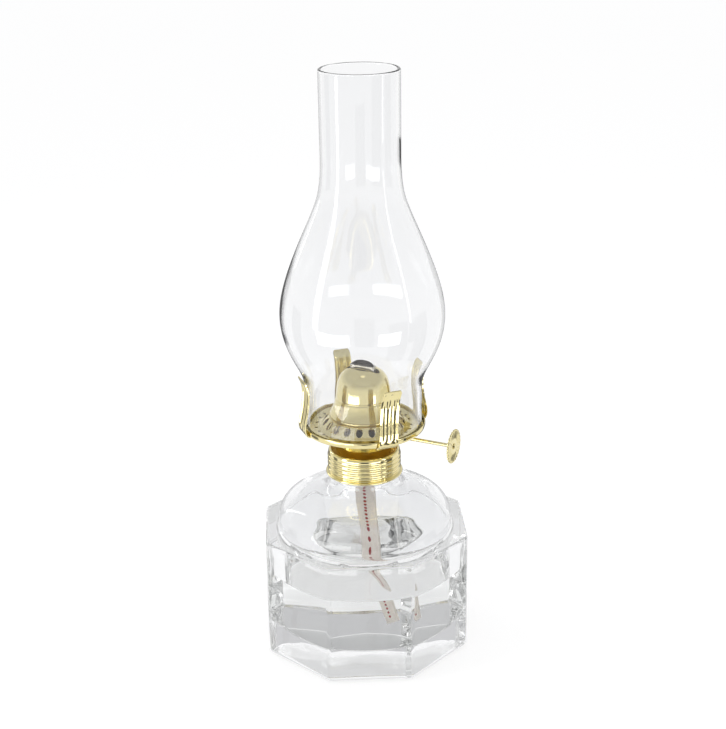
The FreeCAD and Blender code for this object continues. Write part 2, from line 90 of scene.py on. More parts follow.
def bend(centre, radius, start, end, steps):
    """Arc of (radius, height) points between two angles in degrees."""
    angles = [math.radians(start + (end - start) * k / steps) for k in range(steps + 1)]
    return [(centre[0] + radius * math.cos(a), centre[1] + radius * math.sin(a)) for a in angles]


def ring_mesh(name, rings, closed=False, crease=38):
    """Skin over a row of rings; a ring of one point closes the skin, closed joins last to first."""
    verts, faces, starts = [], [], []
    for ring in rings:
        starts.append(len(verts))
        verts.extend([tuple(c * MM for c in p) for p in ring])
    pairs = [(i, i + 1) for i in range(len(rings) - 1)]
    if closed:
        pairs.append((len(rings) - 1, 0))
    for a, b in pairs:
        count = max(len(rings[a]), len(rings[b]))
        for j in range(count):
            k = (j + 1) % count
            corner = [starts[a] + j, starts[a] + k, starts[b] + k, starts[b] + j]
            if len(rings[a]) == 1:
                corner = [starts[a], starts[b] + k, starts[b] + j]
            elif len(rings[b]) == 1:
                corner = [starts[a] + j, starts[a] + k, starts[b]]
            faces.append(corner)
    mesh = bpy.data.meshes.new(name)
    mesh.from_pydata(verts, [], faces)
    form = bmesh.new()
    form.from_mesh(mesh)
    bmesh.ops.recalc_face_normals(form, faces=form.faces)
    if form.calc_volume(signed=True) < 0:
        bmesh.ops.reverse_faces(form, faces=form.faces)
    form.to_mesh(mesh)
    form.free()
    mesh.polygons.foreach_set("use_smooth", [True] * len(mesh.polygons))
    mesh.set_sharp_from_angle(angle=math.radians(crease))
    piece = bpy.data.objects.new(name, mesh)
    bpy.context.scene.collection.objects.link(piece)
    return piece


def octagon_angles():
    """Angles round the body, close together at the eight corners."""
    tangent = math.atan((APOTHEM - CORNER_ROUND) * math.tan(math.pi / 8) / APOTHEM)
    flat = [tangent * 0.985 * (2 * k / SIDE_STEPS - 1) for k in range(SIDE_STEPS + 1)]
    rest = math.pi / 8 - tangent
    corner = [tangent + 2 * rest * k / CORNER_STEPS for k in range(CORNER_STEPS + 1)]
    return [k * math.pi / 4 + a for k in range(8) for a in flat + corner]


def octagon_ring(apothem, corner, z):
    """Level eight-sided ring with rounded corners."""
    ring = []
    for angle in around:
        off = (angle + math.pi / 8) % (math.pi / 4) - math.pi / 8
        tangent = math.atan((apothem - corner) * math.tan(math.pi / 8) / apothem)
        reach = apothem / math.cos(off)
        if abs(off) > tangent:
            centre = (apothem - corner) / math.cos(math.pi / 8)
            from_corner = math.pi / 8 - abs(off)
            reach = centre * math.cos(from_corner)
            reach += math.sqrt(corner ** 2 - (centre * math.sin(from_corner)) ** 2)
        ring.append((reach * math.cos(angle), reach * math.sin(angle), z))
    return ring


def round_ring(radius, z, angles):
    return [(radius * math.cos(a), radius * math.sin(a), z) for a in angles]


around = octagon_angles()
rings = [[(0, 0, 0)], round_ring(20, 0, around), octagon_ring(APOTHEM - 2 * BASE_ROUND, 1.0, 0)]
for depth, height in bend((0, BASE_ROUND), BASE_ROUND, -90, 0, 8):
    inset = BASE_ROUND - depth
    rings.append(octagon_ring(APOTHEM - inset, max(CORNER_ROUND - inset, LEAST_CORNER), height))
for height in (BASE_ROUND + 1, 20, 36, 52, BODY_HEIGHT - LEDGE_ROUND - 0.6):
    rings.append(octagon_ring(APOTHEM, CORNER_ROUND, height))
for depth, height in bend((0, BODY_HEIGHT - LEDGE_ROUND), LEDGE_ROUND, 0, 90, 6):
    inset = LEDGE_ROUND - depth
    rings.append(octagon_ring(APOTHEM - inset, CORNER_ROUND - inset, height))
rings.append(octagon_ring(APOTHEM - LEDGE_ROUND - 0.6, CORNER_ROUND - LEDGE_ROUND, BODY_HEIGHT))
outline = bend((SHOULDER[0][0] + LEDGE_FILLET, BODY_HEIGHT + LEDGE_FILLET), LEDGE_FILLET, 270, 180, 5)
outline += smooth_line(SHOULDER, 60)[1:] + NECK_LINE
for foot in THREAD_FEET:
    outline += [(r, foot + rise) for r, rise in THREAD_BEAD]
outline += bend((NECK_RADIUS - LIP_ROUND, NECK_TOP - LIP_ROUND), LIP_ROUND, 0, 90, 5)
outline += bend((NECK_BORE + LIP_ROUND, NECK_TOP - LIP_ROUND), LIP_ROUND, 90, 180, 5)
outline += smooth_line(SHOULDER_INSIDE, 60)[::-1]
outline += [(CAVITY_RADIUS, z) for z in (55, 52, wet_rim, 45.5, 43, 40, 37, 34, 31, 28, 25)]
outline += bend((CAVITY_RADIUS - FLOOR_CORNER, CAVITY_FLOOR + FLOOR_CORNER), FLOOR_CORNER, 0, -90, 10)
outline += [(r, CAVITY_FLOOR - dip) for r, dip in FLOOR_DISH]


def along(value, start, stretch):
    """How far a value is along a stretch: 0 at its start and before, 1 at its end and past it."""
    return min(max((value - start) / stretch, 0), 1)


def pressed(radius, angle, z):
    """Radius with the ripple that the plunger leaves inside; the mouth and the floor stay true."""
    share = along(radius, 24, 20) * along(z, 93, -12) * along(z, 17, 8)
    ripple = sum(h * math.sin(n * angle + z / pitch + shift) for h, n, pitch, shift in PLUNGER_RIPPLES)
    return radius + share * ripple


mouth_row = max(range(len(outline)), key=lambda i: outline[i][1])
for i, (r, z) in enumerate(outline):
    reach = [pressed(r, a, z) if i > mouth_row else r for a in around]
    rings.append([(q * math.cos(a), q * math.sin(a), z) for q, a in zip(reach, around)])
rings += [[(0, 0, CAVITY_FLOOR - FLOOR_DIP)]]
glass_font = ring_mesh("glass_font", rings)


def shader(name):
    """New material, with its node tree and its main shader."""
    material = bpy.data.materials.new(name)
    material.use_nodes = True
    tree = material.node_tree
    return material, tree, tree.nodes["Principled BSDF"]


def mottle(tree, scale, low, high, detail=3.0, stretch=(1, 1, 1)):
    """Soft random variation between two values, laid through the piece."""
    place = tree.nodes.new("ShaderNodeTexCoord")
    mapping = tree.nodes.new("ShaderNodeMapping")
    mapping.inputs["Scale"].default_value = stretch
    noise = tree.nodes.new("ShaderNodeTexNoise")
    noise.inputs["Scale"].default_value = scale
    noise.inputs["Detail"].default_value = detail
    # the noise seldom leaves the middle of its range
    spread = tree.nodes.new("ShaderNodeMapRange")
    spread.inputs["From Min"].default_value = 0.3
    spread.inputs["From Max"].default_value = 0.7
    spread.inputs["To Min"].default_value = low
    spread.inputs["To Max"].default_value = high
    tree.links.new(place.outputs["Object"], mapping.inputs["Vector"])
    tree.links.new(mapping.outputs["Vector"], noise.inputs["Vector"])
    tree.links.new(noise.outputs["Fac"], spread.inputs["Value"])
    return spread.outputs["Result"]


def relief(tree, main, height, distance, strength=1.0):
    """Raise the surface by a height signal."""
    bump = tree.nodes.new("ShaderNodeBump")
    bump.inputs["Strength"].default_value = strength
    bump.inputs["Distance"].default_value = distance
    tree.links.new(height, bump.inputs["Height"])
    tree.links.new(bump.outputs["Normal"], main.inputs["Normal"])


def clear_glass(name, ior, wave, tint):
    """Clear glass with the slow waves of a mould and a trace of handling haze."""
    material, tree, main = shader(name)
    main.inputs["Base Color"].default_value = tint
    main.inputs["Transmission Weight"].default_value = 1.0
    main.inputs["IOR"].default_value = ior
    tree.links.new(mottle(tree, 45, 0.0, GLASS_HAZE), main.inputs["Roughness"])
    relief(tree, main, mottle(tree, 38, 0.0, 1.0, 1.0), wave)
    return material


GLASS_IOR, OIL_IOR, GLASS_HAZE, MOULD_WAVE = 1.52, 1.44, 0.02, 0.00012
THICK_GLASS = (0.91, 0.915, 0.922, 1)
glass_font.data.materials.append(clear_glass("pressed_glass", GLASS_IOR, MOULD_WAVE, THICK_GLASS))
glass_font.data.materials.append(clear_glass("pressed_glass_wetted", GLASS_IOR / OIL_IOR, MOULD_WAVE,
                                             THICK_GLASS))
# the hollow's wall and floor are wetted up to the edge of the oil
for face in glass_font.data.polygons:
    x, y, z = (c / MM for c in face.center)
    inside = math.hypot(x, y) < CAVITY_RADIUS + 0.6 and z > CAVITY_FLOOR - 0.5
    face.material_index = 1 if inside and z < wet_rim - 0.01 else 0
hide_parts("font")
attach(glass_font, "font")

# ---- Lamp oil --------------------------------------------------------------------------------
# Clear lamp oil fills the font to a little under half. Its level top creeps up the glass at the
# edge; its sides and floor lie against the glass and show nothing of their own.
SKIN = 0.04
OIL_TINT, OIL_WAVE = (0.985, 0.985, 0.97, 1), 0.00003
surface = [(0, oil_top), (20, oil_top), (36, oil_top), (45.5, oil_top), (47.1, oil_top + 0.06),
           (47.9, oil_top + 0.22), (48.3, oil_top + 0.45), (CAVITY_RADIUS - SKIN, wet_rim)]
sides = [(CAVITY_RADIUS - SKIN, 40), (CAVITY_RADIUS - SKIN, 30)]
sides += bend((CAVITY_RADIUS - FLOOR_CORNER, CAVITY_FLOOR + FLOOR_CORNER), FLOOR_CORNER - SKIN, 0, -90, 10)
rings = [[(0, 0, oil_top)]] + [round_ring(r, z, around) for r, z in surface[1:] + sides]
rings += [round_ring(r, CAVITY_FLOOR - dip + SKIN, around) for r, dip in FLOOR_DISH]
rings += [[(0, 0, CAVITY_FLOOR - FLOOR_DIP + SKIN)]]
oil_fill = ring_mesh("oil_fill", rings)


def oil_finish(name, ior):
    """Clear oil; the faces on the glass take an index of 1, since the wetted glass bends the light."""
    material, tree, main = shader(name)
    main.inputs["Base Color"].default_value = OIL_TINT
    main.inputs["Transmission Weight"].default_value = 1.0
    main.inputs["IOR"].default_value = ior
    main.inputs["Roughness"].default_value = 0.0
    relief(tree, main, mottle(tree, 30, 0.0, 1.0, 1.0), OIL_WAVE)
    return material


oil_fill.data.materials.append(oil_finish("oil_surface", OIL_IOR))
oil_fill.data.materials.append(oil_finish("oil_on_glass", 1.0))
for face in oil_fill.data.polygons:
    face.material_index = 0 if face.center.z > (oil_top - 0.5) * MM else 1
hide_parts("lamp_oil")
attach(oil_fill, "font")

# ---- Sealing ring ----------------------------------------------------------------------------
# Flat ring of pressed cork composition between the glass mouth and the burner's floor plate,
# punched from sheet and held by the collar's squeeze.
DARK_CORK, PALE_CORK = (0.16, 0.085, 0.04, 1), (0.46, 0.29, 0.16, 1)
cork, tree, main = shader("pressed_cork")
grain = tree.nodes.new("ShaderNodeValToRGB")
grain.color_ramp.elements[0].color = DARK_CORK
grain.color_ramp.elements[1].color = PALE_CORK
tree.links.new(mottle(tree, 900, 0.0, 1.0), grain.inputs["Fac"])
tree.links.new(grain.outputs["Color"], main.inputs["Base Color"])
main.inputs["Roughness"].default_value = 0.85
relief(tree, main, mottle(tree, 1200, 0.0, 1.0), 0.0002)


def refinish(node, material):
    """Give a kept part its finish."""
    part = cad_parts[node]
    part.data.materials.clear()
    part.data.materials.append(material)


refinish("sealing_ring", cork)

# ---- Screw collar ----------------------------------------------------------------------------
# Skirt of the burner, spun from thin brass and polished: a rolled bead at the foot, four rolled
# thread ribs and a turned-in rim. It screws down on the font's moulded thread.
COLLAR_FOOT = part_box("screw_collar")[0].z / MM
COLLAR_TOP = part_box("screw_collar")[1].z / MM
COLLAR_RADIUS, COLLAR_BORE, COLLAR_RIM, BEAD_RADIUS = 19.6, 19.0, 18.4, 21.0
RIBS, FIRST_RIB, RIB_PITCH, RIB_HEIGHT = 4, 2.3, 2.5, 0.45
LATHE_STEPS = 160


def eased(outline, ease, steps=4, closed=True):
    """Outline with each corner rounded off by the given distance."""
    points = []
    count = len(outline)
    for i, here in enumerate(outline):
        before, after = outline[i - 1], outline[(i + 1) % count]
        if not closed and i in (0, count - 1):
            points.append(here)
            continue
        ends = []
        for other in (before, after):
            way = (other[0] - here[0], other[1] - here[1])
            length = math.hypot(*way)
            # the two cuts on a short edge stop just before its middle
            cut = min(ease, length * 0.48) / max(length, 1e-9)
            ends.append((here[0] + way[0] * cut, here[1] + way[1] * cut))
        for k in range(steps + 1):
            t = k / steps
            points.append(tuple((1 - t) ** 2 * s + 2 * t * (1 - t) * h + t * t * e
                                for s, h, e in zip(ends[0], here, ends[1])))
    return points


def spun(name, outline, closed=True, crease=50):
    """Piece turned about the lamp's axis from its outline."""
    angles = [2 * math.pi * k / LATHE_STEPS for k in range(LATHE_STEPS)]
    rings = [[(0, 0, z)] if abs(r) < 1e-6 else round_ring(r, z, angles) for r, z in outline]
    return ring_mesh(name, rings, closed, crease)


outline = [(COLLAR_BORE, COLLAR_FOOT), (BEAD_RADIUS - 0.6, COLLAR_FOOT), (BEAD_RADIUS, COLLAR_FOOT + 0.45),
           (BEAD_RADIUS, COLLAR_FOOT + 0.95), (BEAD_RADIUS - 0.5, COLLAR_FOOT + 1.45),
           (COLLAR_RADIUS, COLLAR_FOOT + 1.65)]
for k in range(RIBS):
    z = COLLAR_FOOT + FIRST_RIB + k * RIB_PITCH
    outline += [(COLLAR_RADIUS, z), (COLLAR_RADIUS + RIB_HEIGHT, z + 0.5),
                (COLLAR_RADIUS + RIB_HEIGHT, z + 1.15), (COLLAR_RADIUS, z + 1.65)]
outline += [(COLLAR_RADIUS, COLLAR_TOP - 1.5), (COLLAR_RADIUS - 0.45, COLLAR_TOP - 0.5),
            (COLLAR_RIM, COLLAR_TOP - 0.02), (COLLAR_RIM - 0.4, COLLAR_TOP - 0.5),
            (COLLAR_RIM - 0.1, COLLAR_TOP - 1.0), (COLLAR_BORE, COLLAR_TOP - 2.2)]
collar = spun("spun_collar", eased(outline, 0.45))


def two_tones(tree, first, second, share):
    """Colour between two tones, mixed by a soft signal."""
    tone = tree.nodes.new("ShaderNodeMix")
    tone.data_type = "RGBA"
    tone.inputs["A"].default_value = first
    tone.inputs["B"].default_value = second
    tree.links.new(share, tone.inputs["Factor"])
    return tone.outputs["Result"]


def brass(name, colour, deep, gloss, haze):
    """Brass with tone that drifts, fine polishing lines round the piece and slight dents."""
    material, tree, main = shader(name)
    tone = two_tones(tree, colour, deep, mottle(tree, 90, 0.0, 0.6, 4.0))
    tree.links.new(tone, main.inputs["Base Color"])
    main.inputs["Metallic"].default_value = 1.0
    tree.links.new(mottle(tree, 160, gloss, haze, 6.0, (1, 1, 8)), main.inputs["Roughness"])
    relief(tree, main, mottle(tree, 220, 0.0, 1.0, 2.0), BRASS_DENT)
    return material


BRASS_DENT = 0.00005
polished = brass("polished_brass", (0.82, 0.73, 0.40, 1), (0.75, 0.65, 0.32, 1), 0.05, 0.13)
plain = brass("plain_brass", (0.66, 0.47, 0.20, 1), (0.52, 0.35, 0.13, 1), 0.24, 0.42)
collar.data.materials.append(polished)
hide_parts("screw_collar")
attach(collar, "burner")

# ---- Floor plate and breather ----------------------------------------------------------------
# Pressed brass plate that closes the collar over the glass, with a short breather tube that lets
# air into the font beside the wick tube. Both are left as stamped and drawn, and soldered in.
refinish("burner_floor", plain)
refinish("vent_tube", plain)

# ---- Burner bowl and its bush ----------------------------------------------------------------
# Flared cup drawn from thin brass, from the floor plate up to the underside of the gallery, with
# a flanged bush riveted in its side for the wick shaft.
BOWL_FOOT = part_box("burner_bowl")[0].z / MM
BOWL_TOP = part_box("burner_bowl")[1].z / MM
BOWL_SHEET, BOWL_RIM, STEM_ROWS = 0.55, 28.0, 12
bowl_inner = smooth_line([(14.2, BOWL_FOOT), (14.6, 113), (15.2, 117), (17.0, 121.6), (19.8, 125.4),
                          (23.0, 126.7), (BOWL_RIM, 126.7)], 40)
bowl_outer = [(r + BOWL_SHEET, z) for r, z in bowl_inner[:STEM_ROWS]]
for i in range(STEM_ROWS, len(bowl_inner)):
    r, z = bowl_inner[i]
    before = bowl_inner[i - 1]
    run = math.hypot(r - before[0], z - before[1])
    bowl_outer.append((r + BOWL_SHEET * (z - before[1]) / run, z - BOWL_SHEET * (r - before[0]) / run))
bowl_inner[-1] = (BOWL_RIM, BOWL_TOP)
bowl = spun("burner_cup", bowl_outer[::-1] + bowl_inner)
bowl.data.materials.append(polished)
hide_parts("burner_bowl")
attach(bowl, "burner")
refinish("shaft_eyelet", polished)

# ---- Gallery with its prongs -----------------------------------------------------------------
# One polished brass stamping: a rolled ring with a flat seat for the chimney's foot, and four
# sprung fingers, fluted for stiffness, that stand up outside the glass and grip it. Use has bent
# the front one to one side.
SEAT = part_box("chimney")[0].z / MM
RING_RADIUS, RING_TOP, LIP_RADIUS = 33.4, 131.0, 28.6
PRONG_DEGREES = (-72, 18, 108, 198)
PRONG_WIDTH, PRONG_SHEET, PRONG_COLUMNS = 10.2, 0.7, 40
FLUTES, FLUTE_DEPTH, FLUTED_SHARE, FLUTE_FOOT, FLUTE_HEAD = 3, 0.36, 0.84, 129, 158.6
TIP_FOOT, TIP_LENGTH, TIP_NARROWING = 157.4, 2.05, 0.22
BENT_PRONG_LEAN, BENT_PRONG_OUT = math.tan(math.radians(6.0)), 0.5
PRONG_LINE = [(31.2, 127.0), (33.0, 126.9), (35.0, 128.6), (35.5, 131.5), (35.2, 135.2), (34.1, 139.2),
              (33.3, 144.0), (32.8, 150.0), (33.2, 154.2), (34.3, 157.2), (35.55, 159.45)]
outline = [(LIP_RADIUS - 0.7, SEAT - 0.7), (RING_RADIUS - 1.6, SEAT - 0.7), (RING_RADIUS - 0.4, SEAT - 0.2),
           (RING_RADIUS, SEAT + 1.0), (RING_RADIUS, RING_TOP - 0.5), (RING_RADIUS - 0.35, RING_TOP),
           (RING_RADIUS - 0.7, RING_TOP - 0.5), (RING_RADIUS - 0.75, SEAT + 0.5), (RING_RADIUS - 1.3, SEAT),
           (LIP_RADIUS, SEAT), (LIP_RADIUS, SEAT + 1.2), (LIP_RADIUS - 0.7, SEAT + 1.2)]
gallery = spun("chimney_gallery_ring", eased(outline, 0.3))
prong_rows = smooth_line(PRONG_LINE, 56)
form = bmesh.new()
form.from_mesh(gallery.data)
for degrees in PRONG_DEGREES:
    turn = math.radians(degrees)
    out = Vector((math.cos(turn), math.sin(turn), 0))
    side = Vector((-math.sin(turn), math.cos(turn), 0))
    grids = []
    for layer in (0, 1):
        grid = []
        for i, (r, z) in enumerate(prong_rows):
            before, after = prong_rows[max(i - 1, 0)], prong_rows[min(i + 1, len(prong_rows) - 1)]
            run = math.hypot(after[0] - before[0], after[1] - before[1])
            normal = ((after[1] - before[1]) / run, -(after[0] - before[0]) / run)
            # the flutes fade in above the root and out below the tip, where the corners are cut round
            fade = along(z, FLUTE_FOOT, 5) * along(z, FLUTE_HEAD, -3)
            fade = fade * fade * (3 - 2 * fade)
            tip = along(z, TIP_FOOT, TIP_LENGTH)
            width = PRONG_WIDTH / 2 * (1 - TIP_NARROWING * tip ** 2.2)
            row = []
            for c in range(PRONG_COLUMNS + 1):
                s = 2 * c / PRONG_COLUMNS - 1
                wave = 0.5 - 0.5 * math.cos(2 * math.pi * FLUTES * (s * FLUTED_SHARE / 2 + 0.5))
                sunk = FLUTE_DEPTH * fade * wave * (abs(s) < FLUTED_SHARE)
                depth = -sunk - layer * PRONG_SHEET
                place = out * (r + normal[0] * depth) + side * (s * width)
                place.z = z + normal[1] * depth
                if degrees == PRONG_DEGREES[0]:
                    place += side * (z - SEAT) * BENT_PRONG_LEAN + out * BENT_PRONG_OUT
                row.append(form.verts.new(place * MM))
            grid.append(row)
        grids.append(grid)
    front, back = grids
    last_row, last_column = len(prong_rows) - 1, PRONG_COLUMNS
    quads = []
    for grid in grids:
        for i in range(last_row):
            for c in range(last_column):
                quads.append((grid[i][c], grid[i][c + 1], grid[i + 1][c + 1], grid[i + 1][c]))
    for i in range(last_row):
        for c in (0, last_column):
            quads.append((front[i][c], front[i + 1][c], back[i + 1][c], back[i][c]))
    for c in range(last_column):
        for i in (0, last_row):
            quads.append((front[i][c], front[i][c + 1], back[i][c + 1], back[i][c]))
    prong_faces = [form.faces.new(quad) for quad in quads]
    bmesh.ops.recalc_face_normals(form, faces=prong_faces)
for face in form.faces:
    face.smooth = True
form.to_mesh(gallery.data)
form.free()
gallery.data.set_sharp_from_angle(angle=math.radians(50))
gallery.data.materials.append(polished)
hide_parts("chimney_gallery")
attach(gallery, "burner")

# ---- Air plate -------------------------------------------------------------------------------
# Dished brass plate inside the gallery, pierced with a ring of large holes and a ring of fine
# ones, that feeds the draught evenly to the flame. It rests on the gallery's inner lip.
refinish("air_plate", polished)

# ---- Dome ring and flame dome ----------------------------------------------------------------
# Thin brass ring fixed on the air plate, and the bell-shaped dome pushed over it: drawn brass,
# polished, with a rolled line round its middle and a long slot through which the flame burns.
DOME_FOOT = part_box("flame_dome")[0].z / MM
DOME_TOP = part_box("flame_dome")[1].z / MM
DOME_SHEET, CROWN_FOOT = 0.6, 150.0
LINE_HEIGHT, LINE_DEPTH, LINE_WIDTH = 145.0, 0.28, 0.55
SLOT_LENGTH, SLOT_WIDTH, SLOT_STEPS, SPINDLE_DEGREES = 19.0, 5.0, 16, -28.0
outline = [(16.95, 131.5), (17.5, 131.5), (17.5, 134.2), (18.3, 134.3), (18.35, DOME_FOOT - 0.6),
           (17.9, DOME_FOOT - 0.02), (16.2, DOME_FOOT - 0.05), (16.2, DOME_FOOT - 0.6),
           (16.95, DOME_FOOT - 0.7)]
dome_ring = spun("dome_seat", eased(outline, 0.35))
dome_ring.data.materials.append(polished)
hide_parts("dome_ring")
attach(dome_ring, "burner")
dome_line = smooth_line([(18.4, DOME_FOOT + 0.02), (17.4, 137.6), (15.6, 141.5), (14.9, 146.0), (14.4, 150.5),
                         (13.6, 155.0), (10.6, 159.6), (5.5, DOME_TOP), (0.0, DOME_TOP)], 100)
dome_outer, dome_inner = [], []
for r, z in dome_line:
    groove = LINE_DEPTH * math.exp(-((z - LINE_HEIGHT) / LINE_WIDTH) ** 2)
    dome_outer.append((max(r - groove, 0), z))
    slope = max(0.0, (z - CROWN_FOOT) / (DOME_TOP - CROWN_FOOT))
    dome_inner.append((max(r - DOME_SHEET, 0), z - DOME_SHEET * slope))
dome_inner = [p for p in dome_inner if p[0] > 0.01] + [(0, DOME_TOP - DOME_SHEET)]
dome = spun("flame_dome_bell", dome_outer[::-1] + dome_inner, closed=False)
spindle_turn = math.radians(SPINDLE_DEGREES)
spindle_way = Vector((math.cos(spindle_turn), math.sin(spindle_turn), 0))
spindle_side = Vector((-spindle_way.y, spindle_way.x, 0))
PUNCH_FOOT, PUNCH_HEAD = DOME_TOP - 15, DOME_TOP + 15
half = SLOT_LENGTH / 2 - SLOT_WIDTH / 2
rings = [[(0, 0, PUNCH_FOOT)], [], [], [(0, 0, PUNCH_HEAD)]]
for centre, start in ((half, -90), (-half, 90)):
    for k in range(SLOT_STEPS + 1):
        a = math.radians(start + 180 * k / SLOT_STEPS)
        place = spindle_way * (centre + SLOT_WIDTH / 2 * math.cos(a))
        place += spindle_side * (SLOT_WIDTH / 2 * math.sin(a))
        rings[1].append((place.x, place.y, PUNCH_FOOT))
        rings[2].append((place.x, place.y, PUNCH_HEAD))
slot_punch = ring_mesh("slot_punch", rings)
cut = dome.modifiers.new("slot", "BOOLEAN")
cut.operation = "DIFFERENCE"
cut.solver = "EXACT"
cut.object = slot_punch
pierced = bpy.data.meshes.new_from_object(dome.evaluated_get(bpy.context.evaluated_depsgraph_get()))
dome.modifiers.clear()
dome.data = pierced
dome.data.name = "flame_dome_bell"
dome.data.set_sharp_from_angle(angle=math.radians(50))
bpy.data.objects.remove(slot_punch)
dome.data.materials.append(polished)
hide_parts("flame_dome")
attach(dome, "burner")

# ---- Wick tube and shaft bracket -------------------------------------------------------------
# Flat tube folded from brass strip that holds the wick upright, with two windows for the spur
# wheels, tinned against the heat, and beside it the plain stirrup that carries the shaft. Both
# are soldered to the floor plate.
tinned = brass("tinned_brass", (0.62, 0.60, 0.55, 1), (0.40, 0.38, 0.34, 1), 0.26, 0.42)
refinish("wick_tube", tinned)
refinish("shaft_bracket", plain)

# ---- Wick ------------------------------------------------------------------------------------
# Flat woven cotton tape, straight in its tube and then hanging, leaning and turning down into
# the oil. A line of red stitches runs down the middle of each face; the burnt edge is dark.
WICK_WIDTH, WICK_THICKNESS = 12.0, 2.2
WICK_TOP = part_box("wick")[1].z / MM
WICK_CROWN, CROWN_REACH = 1.9, 8
CHAR_FOOT, CHAR_HEAD = 0.1610, 0.1634
# where its middle hangs (x, y and height) and which way its width faces, in degrees
WICK_POLES = [(0, 0, WICK_TOP, -28), (0, 0, 150, -28), (0, 0, 135, -28), (0, 0, 120, -28), (0, 0, 106, -28),
              (0.1, -0.3, 90, -30), (1.2, -2.0, 69, -37), (4.9, -6.2, 50, -46), (9.9, -11.4, 34, -53),
              (14.2, -15.4, 22.3, -56)]
WARPS, WARP_RIB, PICK_RIB = 10, 0.07, 0.035
SECTION_POINTS, SECTION_SQUARENESS, WICK_ROWS = 64, 0.35, 300


def guide_points(poles, steps):
    """Points, with any further values, along the smooth line drawn by control points in space."""
    values = []
    for k in range(1, len(poles[0])):
        pair = smooth_line([(p[0], p[k]) for p in poles], steps)
        values.append([v for _, v in pair])
    first = [v for v, _ in smooth_line([(p[0], p[1]) for p in poles], steps)]
    return list(zip(first, *values))


wick_way = guide_points(WICK_POLES, WICK_ROWS)


def wick_frame(i):
    """Centre, width direction, face direction and run of the tape at a row."""
    here, before, after = (Vector(wick_way[j][:3]) for j in (i, max(i - 1, 0), min(i + 1, WICK_ROWS - 1)))
    run = (before - after).normalized()
    turn = math.radians(wick_way[i][3])
    across = Vector((math.cos(turn), math.sin(turn), 0))
    across = (across - run * across.dot(run)).normalized()
    return here, across, across.cross(run), run


rings = []
for i in range(WICK_ROWS):
    here, across, through, run = wick_frame(i)
    # the burnt end is trimmed to a low arch
    trim = WICK_CROWN * along(here.z, WICK_TOP - CROWN_REACH, CROWN_REACH)
    ring = []
    for k in range(SECTION_POINTS):
        a = 2 * math.pi * k / SECTION_POINTS
        # rounded-rectangle section, ribbed by the lengthwise and the crosswise yarns
        w = math.copysign(abs(math.cos(a)) ** SECTION_SQUARENESS, math.cos(a))
        t = math.copysign(abs(math.sin(a)) ** SECTION_SQUARENESS, math.sin(a))
        rib = WARP_RIB * math.cos(w * math.pi * WARPS) * (abs(w) < 0.96)
        pick = PICK_RIB * math.cos(math.pi * i + w * math.pi * WARPS)
        place = here + across * (w * WICK_WIDTH / 2) + through * (t * (WICK_THICKNESS / 2 - 0.1 + rib + pick))
        place.z -= trim * abs(w) ** 2.4
        ring.append(tuple(place))
    rings.append(ring)
rings = [[tuple(wick_way[0][:3])]] + rings + [[tuple(wick_way[-1][:3])]]
cotton_wick = ring_mesh("cotton_wick", rings, crease=70)
cotton, tree, main = shader("woven_cotton")
CREAM_COTTON, WORN_COTTON = (0.98, 0.93, 0.85, 1), (0.95, 0.86, 0.77, 1)
clean = two_tones(tree, CREAM_COTTON, WORN_COTTON, mottle(tree, 700, 0.0, 1.0, 5.0))
place = tree.nodes.new("ShaderNodeTexCoord")
split = tree.nodes.new("ShaderNodeSeparateXYZ")
height = tree.nodes.new("ShaderNodeMapRange")
height.inputs["From Min"].default_value = CHAR_FOOT
height.inputs["From Max"].default_value = CHAR_HEAD
char = tree.nodes.new("ShaderNodeMix")
char.data_type = "RGBA"
char.inputs["B"].default_value = (0.035, 0.028, 0.024, 1)
tree.links.new(place.outputs["Object"], split.inputs["Vector"])
tree.links.new(split.outputs["Z"], height.inputs["Value"])
tree.links.new(height.outputs["Result"], char.inputs["Factor"])
tree.links.new(clean, char.inputs["A"])
tree.links.new(char.outputs["Result"], main.inputs["Base Color"])
main.inputs["Roughness"].default_value = 0.82
main.inputs["Sheen Weight"].default_value = 0.1
relief(tree, main, mottle(tree, 1500, 0.0, 1.0, 4.0), 0.00025)
cotton_wick.data.materials.append(cotton)
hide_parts("wick")
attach(cotton_wick, "wick")

STITCH_PITCH, STITCH_LENGTH, STITCH_WIDTH, STITCH_RADIUS, STITCH_LEAN = 2.3, 1.5, 2.1, 0.6, 0.12
# the thread is pressed deeper into the cotton where the tube holds the tape
TUBE_FOOT, SUNK_IN_TUBE, SUNK_BELOW = 98, 0.48, 0.2
travel = [0.0]
for i in range(1, WICK_ROWS):
    travel.append(travel[-1] + (Vector(wick_way[i][:3]) - Vector(wick_way[i - 1][:3])).length)
sewing = bmesh.new()
for k in range(1, int(travel[-1] / STITCH_PITCH) - 1):
    row = int(np.searchsorted(travel, (k + 0.9) * STITCH_PITCH))
    here, across, through, run = wick_frame(row)
    for face in (1, -1):
        lean = (run + across * STITCH_LEAN * face).normalized()
        side = lean.cross(through).normalized()
        sunk = SUNK_IN_TUBE if here.z > TUBE_FOOT else SUNK_BELOW
        spot = here + through * (face * (WICK_THICKNESS / 2 - sunk))
        bead = bmesh.ops.create_uvsphere(sewing, u_segments=12, v_segments=8, radius=1.0)
        axes = (side * STITCH_WIDTH / 2, through * STITCH_RADIUS, lean * STITCH_LENGTH / 2)
        shape = Matrix(axes).transposed()
        for v in bead["verts"]:
            v.co = (shape @ v.co + spot) * MM
for face in sewing.faces:
    face.smooth = True
stitch_mesh = bpy.data.meshes.new("stitch_thread")
sewing.to_mesh(stitch_mesh)
sewing.free()
stitches = bpy.data.objects.new("stitch_thread", stitch_mesh)
bpy.context.scene.collection.objects.link(stitches)
thread, tree, main = shader("red_thread")
RED_DYE, DEEP_RED = (0.52, 0.035, 0.035, 1), (0.26, 0.01, 0.012, 1)
